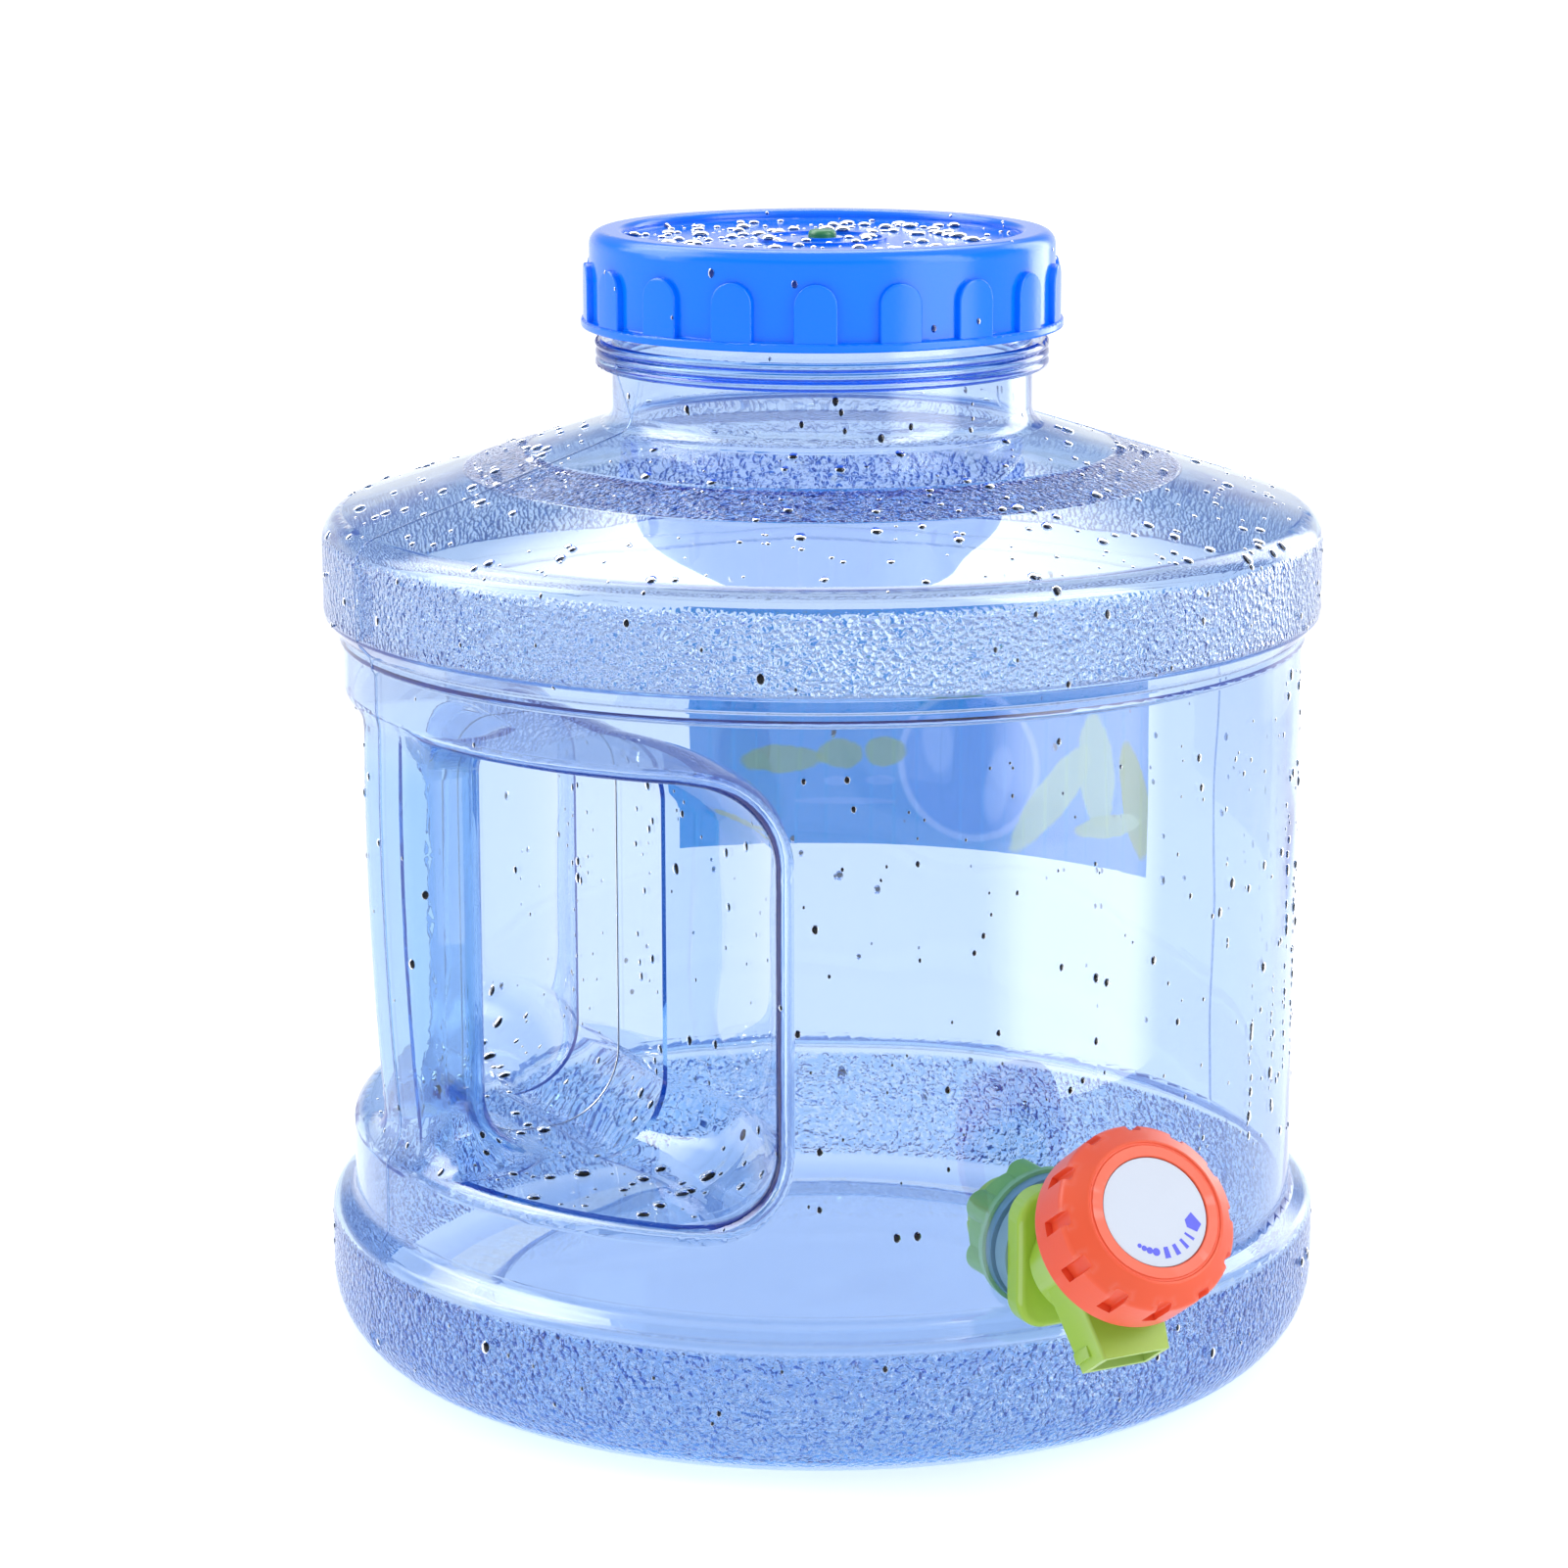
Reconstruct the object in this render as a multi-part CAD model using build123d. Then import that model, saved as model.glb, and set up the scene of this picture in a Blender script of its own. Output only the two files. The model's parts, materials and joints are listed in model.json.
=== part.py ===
from build123d import *
import math
import os

# A wide-mouth water jug of about 11 litres: a blow-moulded polycarbonate body with a moulded-in grip, a
# ribbed screw cap with a vent plug, and a rotary tap clamped through the wall near the base.
# Millimetres. The origin is on the jug's axis, on the surface that it stands on. +Z is up, the tap faces
# -Y, and the grip is on the -X side.

# ---- driving dimensions -------------------------------------------------------------------------------

# Jug body
WALL = 2.0
BASE_R = 134.2
BASE_TOP_Z = 38.6
BASE_CORNER_R = 20.0
FOOT_INNER_R = 97.0
PUSH_UP = 7.0
BODY_R = 127.8
BODY_FOOT_Z = 42.2
BODY_TOP_Z = 192.8
RING_R = 128.8
RING_TOP_Z = 196.2
BELT_R = 132.7
BELT_BOTTOM_Z = 200.5
BELT_TOP_Z = 225.3
BELT_CORNER_R = 8.0
SHOULDER_TOP_Z = 250.2
NECK_R = 55.6
LIP_Z = 292.6
BEAD_R = 60.0
BEAD_Z = 264.4
BEAD_PITCH = 2.4
BEAD_COUNT = 3

# Grip recess and finger hole
RECESS_FLOOR_Z = 65.0
RECESS_CEILING_Z = 177.0
RECESS_HALF_WIDTH = 109.0
RECESS_CORNER_R = 20.0
RECESS_LIP_R = 4.5
RECESS_FILLET = 20.0
CORE_X = -61.0
CORE_HALF_WIDTH = 28.0
POCKET_X = -55.5
POCKET_END_X = -68.5
POCKET_END_Y = 115.0
GRIP_INNER_X = -105.0
GRIP_HALF_WIDTH = 18.0
GRIP_TOP_R = 126.8
GRIP_MIDDLE_R = 127.3
GRIP_BOTTOM_R = 122.0
GRIP_CORNER_R = 7.0
GRIP_FOOT_FILLET = 16.0
GRIP_HEAD_FILLET = 10.0

# Screw thread between neck and cap
THREAD_LEAD = 6.0
THREAD_TURNS = 1.25
THREAD_START_Z = 279.5
NECK_THREAD_CREST_R = 57.5
CAP_BORE_R = 59.1
CAP_THREAD_CREST_R = 56.5
THREAD_ROOT_WIDTH = 2.8
THREAD_CREST_WIDTH = 1.5

# Cap
CAP_BOTTOM_Z = 274.7
CAP_TOP_Z = 299.8
CAP_FLANGE_R = 63.6
CAP_FLANGE_HEIGHT = 2.3
CAP_SKIRT_R = 61.3
CAP_RIM_R = 52.2
CAP_RIM_FILLET = 3.6
CAP_PANEL_Z = 297.0
CAP_PANEL_UNDER_Z = 294.6
RIB_COUNT = 18
RIB_WIDTH = 11.0
RIB_R = 63.0
RIB_TOP_Z = 291.8
RIB_FIRST_ANGLE = -118.5
CAP_BOSS_R = 17.0
CAP_BOSS_HEIGHT = 0.6
GASKET_INNER_R = 52.6
GASKET_OUTER_R = 58.6

# Vent plug
VENT_HOLE_R = 2.5
VENT_STEM_R = 2.45
VENT_HEAD_R = 3.7
VENT_HEAD_HEIGHT = 1.9
VENT_DEPTH = 6.5

# Label film on the wall opposite the tap
LABEL_THICKNESS = 0.15
LABEL_BOTTOM_Z = 103.0
LABEL_TOP_Z = 180.0
LABEL_START = 8.8
LABEL_END = 75.6

# Tap: the shank goes straight through the wall, the valve axis crosses it and rises away from the wall,
# and the spout is square to the valve axis. Places called START, END, NEAR or FAR are along the valve axis.
TAP_Z = 58.7
TAP_TILT = 34.5
VALVE_CROSSING = 14.5
VALVE_CROSSING_PLACE = 10.2
WALL_HOLE_R = 11.6
FLANGE_BACK = 4.0
FLANGE_THICKNESS = 6.0
FLANGE_WIDTH = 31.6
FLANGE_HEIGHT = 35.6
FLANGE_CORNER_R = 8.0
BOSS_R = 12.5
BOSS_END = 19.0
SHANK_R = 10.2
SHANK_THREAD_R = 11.2
SHANK_THREAD_LEAD = 2.5
SHANK_THREAD_TURNS = 7
SHANK_BORE_R = 6.6
SHANK_END = 27.0
OUTER_GASKET_R = 16.5
INNER_GASKET_R = 17.0
INNER_GASKET_FACE = 5.6
NUT_FLANGE_R = 18.0
NUT_FLANGE_THICKNESS = 2.0
NUT_LOBE_R = 17.0
NUT_VALLEY_R = 14.6
NUT_LOBES = 6
NUT_HEIGHT = 12.0
NUT_BORE_R = 11.35
BARREL_R = 13.5
BARREL_START = 7.0
BARREL_FLOOR = 10.0
BARREL_END = 34.0
VALVE_BORE_R = 10.5
SPOUT_ROOT_WIDTH = 26.0
SPOUT_TIP_WIDTH = 18.6
SPOUT_NEAR = 9.5
SPOUT_FAR = 22.5
SPOUT_LENGTH = 27.4
SPOUT_WALL = 1.6

# Valve core and its parts
CORE_R = 10.44
CORE_START = 10.4
CORE_END = 31.0
CORE_BORE_R = 6.8
CORE_BORE_END = 27.0
PORT_R = 4.0
SEAL_PLACES = (24.6, 28.9)
SEAL_SECTION_R = 0.9
SEAL_CLEARANCE = 0.05
STEM_R = 5.0
STEM_END = 38.0
DRIVE_SIZE = 7.0
DRIVE_END = 44.6
RETAINER_START = 31.2
RETAINER_END = 33.6
RETAINER_BORE_R = 5.1

# Knob
KNOB_R = 23.2
KNOB_START = 31.0
KNOB_SIDE_END = 45.6
KNOB_FACE = 50.0
KNOB_FACE_R = 17.8
KNOB_WALL = 2.4
KNOB_HUB_R = 7.4
KNOB_HUB_START = 38.3
KNOB_WEB = 45.0
KNOB_GROOVE_R = 17.0
NOTCH_COUNT = 12
NOTCH_WIDTH = 3.6
NOTCH_DEPTH = 1.8
NOTCH_START = 37.0
NOTCH_FIRST_ANGLE = 22.5
DIAL_R = 13.6
DIAL_THICKNESS = 1.0
DIAL_RECESS = 1.4
SCREW_HEAD_R = 3.4
SCREW_HEAD_HEIGHT = 2.2
SCREW_R = 1.6
SCREW_LENGTH = 12.0
SCREW_POCKET_R = 4.2

UP = (Align.CENTER, Align.CENTER, Align.MIN)
TILT = math.radians(TAP_TILT)
FLANGE_Y = -BODY_R - FLANGE_BACK
OUTWARD = Plane(origin=(0, FLANGE_Y, TAP_Z), x_dir=(1, 0, 0), z_dir=(0, -1, 0))
INWARD = Plane(origin=(0, -BODY_R, TAP_Z), x_dir=(-1, 0, 0), z_dir=(0, 1, 0))
VALVE_DIRECTION = Vector(0, -math.cos(TILT), math.sin(TILT))
CROSSING = Vector(0, -BODY_R - VALVE_CROSSING, TAP_Z)
VALVE = Plane(CROSSING - VALVE_CROSSING_PLACE * VALVE_DIRECTION, (1, 0, 0), VALVE_DIRECTION)


# ---- helpers ------------------------------------------------------------------------------------------


def save(node, shape):
    export_step(shape, f"parts/{node}.step")


def turned(outline):
    """A solid of revolution about Z from a closed line of (radius, height) points."""
    return revolve(Plane.XZ * make_face(outline), Axis.Z)


def disc(radius, bottom, top):
    """A plain cylinder about Z from bottom to top."""
    return Pos(0, 0, bottom) * Cylinder(radius, top - bottom, align=UP)


def ring(outer_r, inner_r, bottom, top):
    """A plain ring about Z."""
    return disc(outer_r, bottom, top) - disc(inner_r, bottom - 1, top + 1)


def around(shape, count, first_angle=0):
    """Copies of a shape spaced evenly about Z."""
    return [Rot(0, 0, first_angle + 360 / count * index) * shape for index in range(count)]


def helical_rib(root_r, crest_r, lead, turns, root_width, crest_width):
    """A trapezoid swept along a right-hand helix about Z that starts at height 0 on the +X side."""
    path = Helix(pitch=lead, height=lead * turns, radius=root_r)
    corners = [
        (root_r, -root_width / 2),
        (crest_r, -crest_width / 2),
        (crest_r, crest_width / 2),
        (root_r, root_width / 2),
    ]
    section = Plane.XZ * make_face(Polyline(*corners, close=True))
    return sweep(section, path=path, is_frenet=True)


# ---- jug body -----------------------------------------------------------------------------------------


def body_section(inset):
    """Half section of the jug's solid form, moved inwards by inset, as a face of radius and height."""
    corners = [
        (NECK_R, LIP_Z, 0.8),
        (NECK_R, SHOULDER_TOP_Z, 5.0),
        (BELT_R, BELT_TOP_Z, BELT_CORNER_R),
        (BELT_R, BELT_BOTTOM_Z, 1.2),
        (RING_R, RING_TOP_Z, 1.0),
        (RING_R, BODY_TOP_Z + 0.8, 0.5),
        (BODY_R, BODY_TOP_Z, 0.5),
        (BODY_R, BODY_FOOT_Z, 3.0),
        (BASE_R, BASE_TOP_Z, 4.0),
        (BASE_R, 0, BASE_CORNER_R),
        (FOOT_INNER_R, 0, 2.0),
        (FOOT_INNER_R - 8, PUSH_UP, 3.0),
    ]
    points = [(0, LIP_Z)] + [(r, z) for r, z, _ in corners] + [(0, PUSH_UP)]
    edge = FilletPolyline(*points, radius=[radius for _, _, radius in corners])
    half = make_face(edge + Line((0, PUSH_UP), (0, LIP_Z)))
    if inset == 0:
        return half
    whole = half + mirror(half, about=Plane.YZ)
    inner = offset(whole, amount=-inset)
    right_side = Rectangle(2 * BASE_R, 2 * LIP_Z, align=(Align.MIN, Align.CENTER))
    return inner & right_side


def recess_block(grow):
    """The air cut out of the jug's side round the grip, with its walls moved out by grow."""
    span = 160
    beyond = -220
    pocket_y = (POCKET_END_Y + CORE_HALF_WIDTH) / 2
    corner = (POCKET_END_X, POCKET_END_Y)
    core = (CORE_X, CORE_HALF_WIDTH)
    half = make_face(
        [
            Line((CORE_X, 0), core),
            ThreePointArc(core, (POCKET_X, pocket_y), corner),
            Polyline(corner, (POCKET_END_X, span), (beyond, span), (beyond, 0), (CORE_X, 0)),
        ]
    )
    plan = half + mirror(half, about=Plane.XZ)
    height = RECESS_CEILING_Z - RECESS_FLOOR_Z
    middle = (RECESS_CEILING_Z + RECESS_FLOOR_Z) / 2
    front = RectangleRounded(
        2 * (RECESS_HALF_WIDTH + grow), height + 2 * grow, RECESS_CORNER_R + grow
    )
    deep = extrude(Pos(0, 0, RECESS_FLOOR_Z - 20) * plan, height + 40)
    window = extrude(Plane(origin=(0, 0, middle), x_dir=(0, 1, 0), z_dir=(-1, 0, 0)) * front, 240)
    block = Pos(grow, 0, 0) * deep & window
    corner_edges = block.edges().filter_by(lambda edge: edge.center().X > POCKET_END_X - 3 + grow)
    corner_edges = corner_edges.filter_by(Axis.Z, reverse=True)
    return fillet(corner_edges, RECESS_FILLET)


def grip_bar(shrink):
    """The upright bar, rounded in plan and slightly barrel-shaped outside, made thinner by shrink."""
    low = RECESS_FLOOR_Z - 12
    high = RECESS_CEILING_Z + 12
    outer_x = -(GRIP_MIDDLE_R + 12)
    inner_x = GRIP_INNER_X - shrink
    half_width = GRIP_HALF_WIDTH - shrink
    plan = Pos((outer_x + inner_x) / 2, 0) * RectangleRounded(
        inner_x - outer_x, 2 * half_width, GRIP_CORNER_R - shrink
    )
    bar = extrude(Pos(0, 0, low) * plan, high - low)
    side = ThreePointArc(
        (GRIP_TOP_R - shrink, high),
        (GRIP_MIDDLE_R - shrink, (low + 2 * high) / 3),
        (GRIP_BOTTOM_R - shrink, low),
    )
    rest = Polyline((GRIP_BOTTOM_R - shrink, low), (0, low), (0, high), (GRIP_TOP_R - shrink, high))
    clipped = bar & turned(side + rest)
    uprights = clipped.edges().filter_by(
        lambda edge: edge.center().X < GRIP_INNER_X - 12 and edge.length > (high - low) * 0.8
    )
    return fillet(uprights, GRIP_CORNER_R - shrink)


def body_with_grip(inset):
    """The jug's solid form with its recess and grip, with every surface moved inwards by inset."""
    body = revolve(Plane.XZ * body_section(inset), Axis.Z) - recess_block(inset)
    floor_z = RECESS_FLOOR_Z - inset
    ceiling_z = RECESS_CEILING_Z + inset

    def on_lip(edge):
        points = [edge.position_at(part) for part in (0.1, 0.5, 0.9)]
        return all(
            abs(math.hypot(point.X, point.Y) - BODY_R + inset) < 0.05
            and floor_z - 1 < point.Z < ceiling_z + 1
            and point.X < POCKET_X
            for point in points
        )

    body = fillet(body.edges().filter_by(on_lip), RECESS_LIP_R - inset)
    body += grip_bar(inset)
    for end_z, radius in ((floor_z, GRIP_FOOT_FILLET), (ceiling_z, GRIP_HEAD_FILLET)):
        level = body.edges().filter_by(Plane.XY).filter_by_position(Axis.Z, end_z - 0.01, end_z + 0.01)
        ends = level.filter_by(
            lambda edge: abs(edge.center().Y) < GRIP_HALF_WIDTH + 1
            and edge.center().X < GRIP_INNER_X + 1
            and edge.length < 3 * GRIP_HALF_WIDTH
        )
        body = fillet(ends, radius)
    return body


def jug_body():
    outer = body_with_grip(0)
    inner = body_with_grip(WALL) + disc(NECK_R - WALL, LIP_Z - 8, LIP_Z + 12)
    for index in range(BEAD_COUNT):
        bead = Pos(0, 0, BEAD_Z + (index + 0.5) * BEAD_PITCH) * Torus(BEAD_R - 1.3, 1.3)
        outer += bead
    outer += ring(BEAD_R - 1.0, NECK_R - 1, BEAD_Z + 0.6, BEAD_Z + BEAD_COUNT * BEAD_PITCH - 0.6)
    thread = helical_rib(
        NECK_R - 0.5, NECK_THREAD_CREST_R, THREAD_LEAD, THREAD_TURNS, THREAD_ROOT_WIDTH, THREAD_CREST_WIDTH
    )
    outer += Pos(0, 0, THREAD_START_Z) * thread
    shell = outer - inner
    return shell - INWARD * disc(WALL_HOLE_R, -8, 8)


def label_film():
    """A printed film on the outside of the wall, a sector of a thin ring."""
    reach = 2 * BODY_R
    spokes = [90 - LABEL_END, 90 - (LABEL_START + LABEL_END) / 2, 90 - LABEL_START]
    tips = [(reach * math.cos(math.radians(a)), reach * math.sin(math.radians(a))) for a in spokes]
    wedge = extrude(make_face(Polyline((0, 0), *tips, close=True)), LABEL_TOP_Z + 1)
    return ring(BODY_R + LABEL_THICKNESS, BODY_R, LABEL_BOTTOM_Z, LABEL_TOP_Z) & wedge


# ---- cap ----------------------------------------------------------------------------------------------


def cap_shell():
    corners = [
        (CAP_FLANGE_R, CAP_BOTTOM_Z, 0.6),
        (CAP_FLANGE_R, CAP_BOTTOM_Z + CAP_FLANGE_HEIGHT, 0.6),
        (CAP_SKIRT_R, CAP_BOTTOM_Z + CAP_FLANGE_HEIGHT, 0.5),
        (CAP_SKIRT_R, CAP_TOP_Z, CAP_RIM_FILLET),
        (CAP_RIM_R, CAP_TOP_Z, 1.6),
        (CAP_RIM_R, CAP_PANEL_Z, 0.8),
    ]
    points = [(CAP_BORE_R, CAP_BOTTOM_Z)] + [(r, z) for r, z, _ in corners] + [(0, CAP_PANEL_Z)]
    outside = FilletPolyline(*points, radius=[radius for _, _, radius in corners])
    inside = Polyline(
        (0, CAP_PANEL_Z), (0, CAP_PANEL_UNDER_Z), (CAP_BORE_R, CAP_PANEL_UNDER_Z), (CAP_BORE_R, CAP_BOTTOM_Z)
    )
    cap = turned(outside + inside)
    arch_z = RIB_TOP_Z - RIB_WIDTH / 2
    foot_z = CAP_BOTTOM_Z + 1
    arch = Pos(0, (arch_z + foot_z) / 2) * Rectangle(RIB_WIDTH, arch_z - foot_z)
    arch += Pos(0, arch_z) * Circle(RIB_WIDTH / 2)
    start = CAP_BORE_R + 1
    rib = extrude(Plane.YZ.offset(start) * arch, RIB_R + 3 - start) & disc(RIB_R, CAP_BOTTOM_Z, CAP_TOP_Z)
    above_foot = rib.edges().filter_by(lambda edge: edge.center().Z > foot_z + 0.1)
    rim_edges = above_foot.filter_by(lambda edge: math.hypot(edge.center().X, edge.center().Y) > RIB_R - 0.4)
    rib = fillet(rim_edges, 0.5)
    for copy in around(rib, RIB_COUNT, RIB_FIRST_ANGLE):
        cap += copy
    cap += ring(CAP_BOSS_R, CAP_BOSS_R - 1.2, CAP_PANEL_Z - 0.2, CAP_PANEL_Z + CAP_BOSS_HEIGHT)
    cap += disc(VENT_HEAD_R + 1.8, CAP_PANEL_Z - 0.2, CAP_PANEL_Z + CAP_BOSS_HEIGHT)
    thread = helical_rib(
        CAP_BORE_R + 0.5, CAP_THREAD_CREST_R, THREAD_LEAD, THREAD_TURNS, THREAD_ROOT_WIDTH, THREAD_CREST_WIDTH
    )
    cap += Pos(0, 0, THREAD_START_Z - THREAD_LEAD / 2) * thread
    return cap - disc(VENT_HOLE_R, CAP_PANEL_UNDER_Z - 1, CAP_TOP_Z)


def cap_gasket():
    seal = ring(GASKET_OUTER_R, GASKET_INNER_R, LIP_Z, CAP_PANEL_UNDER_Z)
    return fillet(seal.edges(), 0.3)


def vent_plug():
    seat_z = CAP_PANEL_Z + CAP_BOSS_HEIGHT
    head = fillet(disc(VENT_HEAD_R, seat_z, seat_z + VENT_HEAD_HEIGHT).edges().group_by(Axis.Z)[-1], 1.2)
    stem = disc(VENT_STEM_R, seat_z - VENT_DEPTH, seat_z + 0.5)
    return head + chamfer(stem.edges().group_by(Axis.Z)[0], 0.8)


# ---- tap, fixed parts ---------------------------------------------------------------------------------


def spout_block(inset):
    """The spout, which narrows towards its mouth, made thinner by inset and left open-ended by it."""
    root = SPOUT_ROOT_WIDTH / 2 - inset
    tip = SPOUT_TIP_WIDTH / 2 - inset
    outline = Polyline((-root, 0), (-tip, -SPOUT_LENGTH), (tip, -SPOUT_LENGTH), (root, 0), close=True)
    depth = SPOUT_FAR - SPOUT_NEAR - 2 * inset
    return extrude(Pos(0, 0, SPOUT_NEAR + inset) * make_face(outline), depth)


def tap_body():
    """Flange, threaded shank, boss, valve barrel and spout, moulded in one."""
    face = RectangleRounded(FLANGE_WIDTH, FLANGE_HEIGHT, FLANGE_CORNER_R)
    flange = extrude(OUTWARD * face, FLANGE_THICKNESS)
    flange = fillet(flange.edges().group_by(Axis.Y)[0], 1.8)
    flange += OUTWARD * disc(BOSS_R, 0, BOSS_END - FLANGE_BACK)
    spout = spout_block(0)
    sides = spout.edges().filter_by(lambda edge: abs(edge.tangent_at(0.5).Y) > 0.9)
    spout = fillet(sides, 0.8)
    tab = Pos(-SPOUT_TIP_WIDTH / 2, -SPOUT_LENGTH + 3.6, SPOUT_NEAR + 4.2) * Box(2.0, 2.8, 7.4)
    housing = VALVE * (disc(BARREL_R, BARREL_START, BARREL_END) + spout + tab)
    outside = Pos(0, FLANGE_Y - 60, TAP_Z) * Box(120, 120, 120)
    shank = INWARD * disc(SHANK_R, -FLANGE_BACK - 1, SHANK_END)
    rib = helical_rib(SHANK_R - 0.4, SHANK_THREAD_R, SHANK_THREAD_LEAD, SHANK_THREAD_TURNS, 2.1, 0.5)
    thread = INWARD * (Pos(0, 0, SHANK_END - SHANK_THREAD_LEAD * SHANK_THREAD_TURNS - 1.6) * rib)
    body = flange + (housing & outside) + shank + thread
    body -= VALVE * disc(VALVE_BORE_R, BARREL_FLOOR, BARREL_END + 1)
    mouth = Pos(0, -SPOUT_LENGTH) * Box(2 * SPOUT_ROOT_WIDTH, 2 * (SPOUT_LENGTH - VALVE_BORE_R + 3), 80)
    body -= VALVE * (spout_block(SPOUT_WALL) & mouth)
    return body - INWARD * disc(SHANK_BORE_R, -BOSS_END, SHANK_END + 1)


def tap_outer_gasket():
    washer = OUTWARD * ring(OUTER_GASKET_R, WALL_HOLE_R, -FLANGE_BACK - 4, 0)
    return washer - revolve(Plane.XZ * body_section(0), Axis.Z)


def tap_inner_gasket():
    washer = INWARD * ring(INNER_GASKET_R, WALL_HOLE_R, 0, INNER_GASKET_FACE)
    return washer & disc(BODY_R - WALL, 0, CAP_BOTTOM_Z)


def lock_nut():
    outline = Circle(NUT_VALLEY_R)
    lobe_r = 4.2
    for lobe in around(Pos(NUT_LOBE_R - lobe_r, 0) * Circle(lobe_r), NUT_LOBES, 30):
        outline += lobe
    lobes = extrude(outline, NUT_HEIGHT)
    lobes = fillet(lobes.edges().group_by(Axis.Z)[-1], 0.8)
    nut = disc(NUT_FLANGE_R, 0, NUT_FLANGE_THICKNESS) + Pos(0, 0, NUT_FLANGE_THICKNESS - 0.5) * lobes
    nut -= disc(NUT_BORE_R, -1, NUT_HEIGHT + NUT_FLANGE_THICKNESS + 1)
    return INWARD * (Pos(0, 0, INNER_GASKET_FACE) * nut)


def valve_retainer():
    return VALVE * ring(VALVE_BORE_R, RETAINER_BORE_R, RETAINER_START, RETAINER_END)


# ---- tap, turning parts -------------------------------------------------------------------------------


def valve_core():
    """A hollow plug, open towards the jug, whose one side port meets the spout when it is turned."""
    core = disc(CORE_R, CORE_START, CORE_END) - disc(CORE_BORE_R, CORE_START - 1, CORE_BORE_END)
    mid = (SPOUT_NEAR + SPOUT_FAR) / 2
    core -= Pos(0, 0, mid) * Rot(0, -90, 0) * disc(PORT_R, 0, CORE_R + 1)
    for place in SEAL_PLACES:
        half = SEAL_SECTION_R + 0.15
        core -= ring(CORE_R + 1, VALVE_BORE_R - 2 * SEAL_SECTION_R - 0.1, place - half, place + half)
    core += disc(STEM_R, CORE_END - 1, STEM_END)
    drive = Pos(0, 0, STEM_END - 1) * Box(DRIVE_SIZE, DRIVE_SIZE, DRIVE_END - STEM_END + 1, align=UP)
    core += drive
    return VALVE * (core - disc(SCREW_R, DRIVE_END - SCREW_LENGTH, DRIVE_END + 1))


def core_seals():
    centre_r = VALVE_BORE_R - SEAL_CLEARANCE - SEAL_SECTION_R
    return Compound([VALVE * (Pos(0, 0, place) * Torus(centre_r, SEAL_SECTION_R)) for place in SEAL_PLACES])


def knob():
    corners = [
        (KNOB_R, KNOB_START, 0.8),
        (KNOB_R, KNOB_SIDE_END, 2.4),
        (KNOB_FACE_R, KNOB_FACE, 1.5),
        (DIAL_R + 0.2, KNOB_FACE, 0.3),
    ]
    inner_r = KNOB_R - KNOB_WALL
    recess = KNOB_FACE - DIAL_RECESS
    points = [(inner_r, KNOB_START)] + [(r, z) for r, z, _ in corners] + [(DIAL_R + 0.2, recess)]
    outside = FilletPolyline(*points, radius=[radius for _, _, radius in corners])
    inside = Polyline(
        (DIAL_R + 0.2, recess),
        (SCREW_POCKET_R, recess),
        (SCREW_POCKET_R, KNOB_WEB + 1.2),
        (0, KNOB_WEB + 1.2),
        (0, KNOB_HUB_START),
        (KNOB_HUB_R, KNOB_HUB_START),
        (KNOB_HUB_R, KNOB_WEB),
        (inner_r, KNOB_WEB - 1.5),
        (inner_r, KNOB_START),
    )
    body = turned(outside + inside)
    body -= Pos(0, 0, KNOB_FACE + 0.1) * Torus(KNOB_GROOVE_R, 0.45)
    tall = KNOB_FACE - NOTCH_START
    notch = Pos(KNOB_R, 0, NOTCH_START) * Box(2 * NOTCH_DEPTH, NOTCH_WIDTH, tall, align=UP)
    notch = fillet(notch.edges().filter_by(Axis.Z), 0.6)
    for copy in around(notch, NOTCH_COUNT, NOTCH_FIRST_ANGLE):
        body -= copy
    socket = DRIVE_SIZE + 0.1
    body -= Pos(0, 0, KNOB_HUB_START - 1) * Box(socket, socket, KNOB_WEB - KNOB_HUB_START + 1, align=UP)
    return VALVE * (body - disc(SCREW_R + 0.2, KNOB_WEB - 1, KNOB_WEB + 2))


def knob_screw():
    seat = KNOB_WEB + 1.2
    head = disc(SCREW_HEAD_R, seat, seat + SCREW_HEAD_HEIGHT)
    head = fillet(head.edges().group_by(Axis.Z)[-1], 0.8)
    screw = head + disc(SCREW_R, DRIVE_END - SCREW_LENGTH + 1, seat + 0.5)
    for angle in (0, 90):
        screw -= Pos(0, 0, seat + SCREW_HEAD_HEIGHT - 1) * Rot(0, 0, angle) * Box(3.2, 0.7, 2, align=UP)
    return VALVE * screw


def knob_dial():
    floor = KNOB_FACE - DIAL_RECESS
    return VALVE * disc(DIAL_R, floor, floor + DIAL_THICKNESS)


NODES = {
    "jug_body": jug_body,
    "label_film": label_film,
    "cap_shell": cap_shell,
    "cap_gasket": cap_gasket,
    "vent_plug": vent_plug,
    "tap_body": tap_body,
    "tap_outer_gasket": tap_outer_gasket,
    "tap_inner_gasket": tap_inner_gasket,
    "lock_nut": lock_nut,
    "valve_retainer": valve_retainer,
    "valve_core": valve_core,
    "core_seals": core_seals,
    "knob": knob,
    "knob_screw": knob_screw,
    "knob_dial": knob_dial,
}

os.makedirs("parts", exist_ok=True)
for node, make in NODES.items():
    save(node, make())
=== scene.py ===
import json
import math
import random

import bpy
from mathutils import Matrix, Vector
from mathutils.bvhtree import BVHTree


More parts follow.
